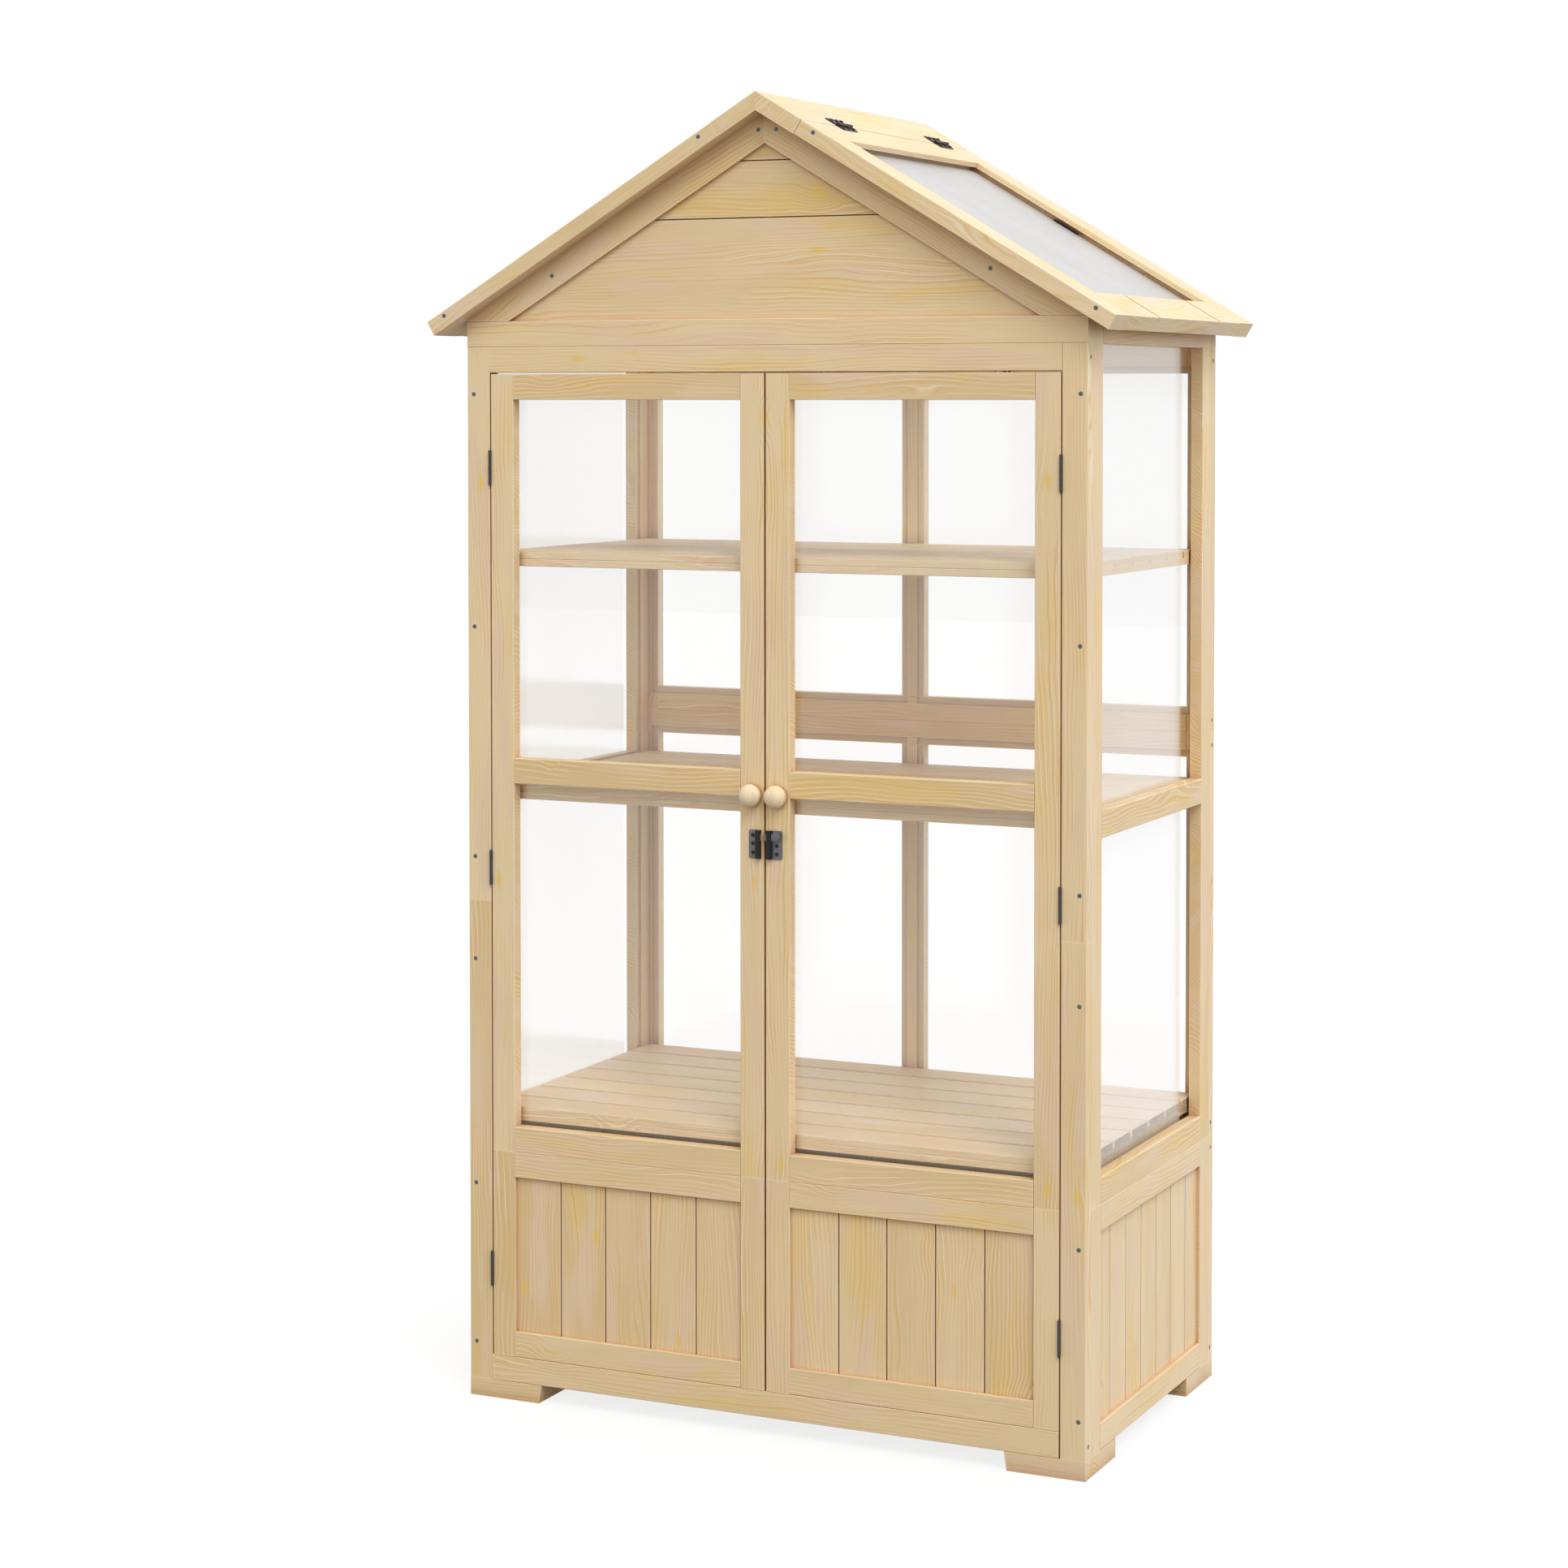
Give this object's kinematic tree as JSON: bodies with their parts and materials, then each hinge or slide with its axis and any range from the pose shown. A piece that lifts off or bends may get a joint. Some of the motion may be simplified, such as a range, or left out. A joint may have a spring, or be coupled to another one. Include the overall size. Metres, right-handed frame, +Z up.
{
  "type": "mini greenhouse",
  "caption": "Wooden mini greenhouse cabinet on feet: glazed walls and doors, slatted shelves, and a gabled roof with a hinged glazed flap.",
  "frame": {"origin": "on the floor, under the middle of the roof", "axes": "+X to the right seen from the doors, +Y from the doors to the back, +Z up"},
  "size_m": [1, 0.565, 1.78],
  "materials": {
    "fir": "smooth pale fir with a thin satin varnish",
    "clear_sheet": "clear plastic sheet",
    "milky_sheet": "milky plastic sheet",
    "dark_steel": "dark lacquered steel",
    "screw_steel": "dark zinc-plated steel"
  },
  "bodies": {
    "cabinet": {"back_boards": "fir", "back_gable_boards": "fir", "back_gable_frame": "fir", "back_lower_frame": "fir", "back_middle_frame": "fir", "back_panes": "clear_sheet", "back_upper_frame": "fir", "door_hinge_post_leaves": "dark_steel", "feet": "fir", "floor_shelf": "fir", "frame_screws": "screw_steel", "front_bottom_rail": "fir", "front_gable_boards": "fir", "front_gable_frame": "fir", "front_post_lower_left": "fir", "front_post_lower_right": "fir", "front_post_upper_left": "fir", "front_post_upper_right": "fir", "front_top_rail": "fir", "left_roof_frame": "fir", "left_roof_pane": "milky_sheet", "middle_shelf": "fir", "ridge_board_left": "fir", "ridge_board_right": "fir", "roof_hinge_ridge_leaves": "dark_steel", "side_boards_left": "fir", "side_boards_right": "fir", "side_lower_frame_left": "fir", "side_lower_frame_right": "fir", "side_panes_left": "clear_sheet", "side_panes_right": "clear_sheet", "side_upper_frame_left": "fir", "side_upper_frame_right": "fir", "top_gap_studs": "screw_steel", "top_shelf": "fir"},
    "left_door": {"left_door_boards": "fir", "left_door_hinge_leaves": "dark_steel", "left_door_knob": "fir", "left_door_lower_frame": "fir", "left_door_panes": "clear_sheet", "left_door_upper_frame": "fir", "latch_keeper": "dark_steel"},
    "right_door": {"right_door_boards": "fir", "right_door_hinge_leaves": "dark_steel", "right_door_knob": "fir", "right_door_lower_frame": "fir", "right_door_panes": "clear_sheet", "right_door_upper_frame": "fir", "latch_body": "dark_steel"},
    "roof_flap": {"flap_bottom_rail": "fir", "flap_pane": "milky_sheet", "flap_screws": "screw_steel", "flap_side_rails": "fir", "flap_top_rail": "fir", "roof_hinge_flap_leaves": "dark_steel", "stay_bracket": "dark_steel"},
    "latch_bolt": {"latch_bolt": "dark_steel"},
    "stay_arm": {"stay_arm": "dark_steel"}
  },
  "joints": [
    {"name": "left_door_hinge", "type": "hinge", "parent": "cabinet", "child": "left_door", "pos_m": [-0.41713, -0.2561, 0.735], "axis": [0, 0, -1], "range_deg": [0, 170]},
    {"name": "right_door_hinge", "type": "hinge", "parent": "cabinet", "child": "right_door", "pos_m": [0.41713, -0.2561, 0.735], "axis": [0, 0, 1], "range_deg": [0, 170]},
    {"name": "roof_flap_hinge", "type": "hinge", "parent": "cabinet", "child": "roof_flap", "pos_m": [0.06794, 0, 1.74282], "axis": [0, -1, 0], "range_deg": [0, 60]},
    {"name": "latch_bolt_slide", "type": "slide", "parent": "right_door", "child": "latch_bolt", "axis": [1, 0, 0], "range_m": [-0.0075, 0.004]},
    {"name": "stay_arm_hinge", "type": "hinge", "parent": "roof_flap", "child": "stay_arm", "pos_m": [0.23113, 0.219, 1.59631], "axis": [0, -1, 0], "range_deg": [-90, 75]}
  ]
}
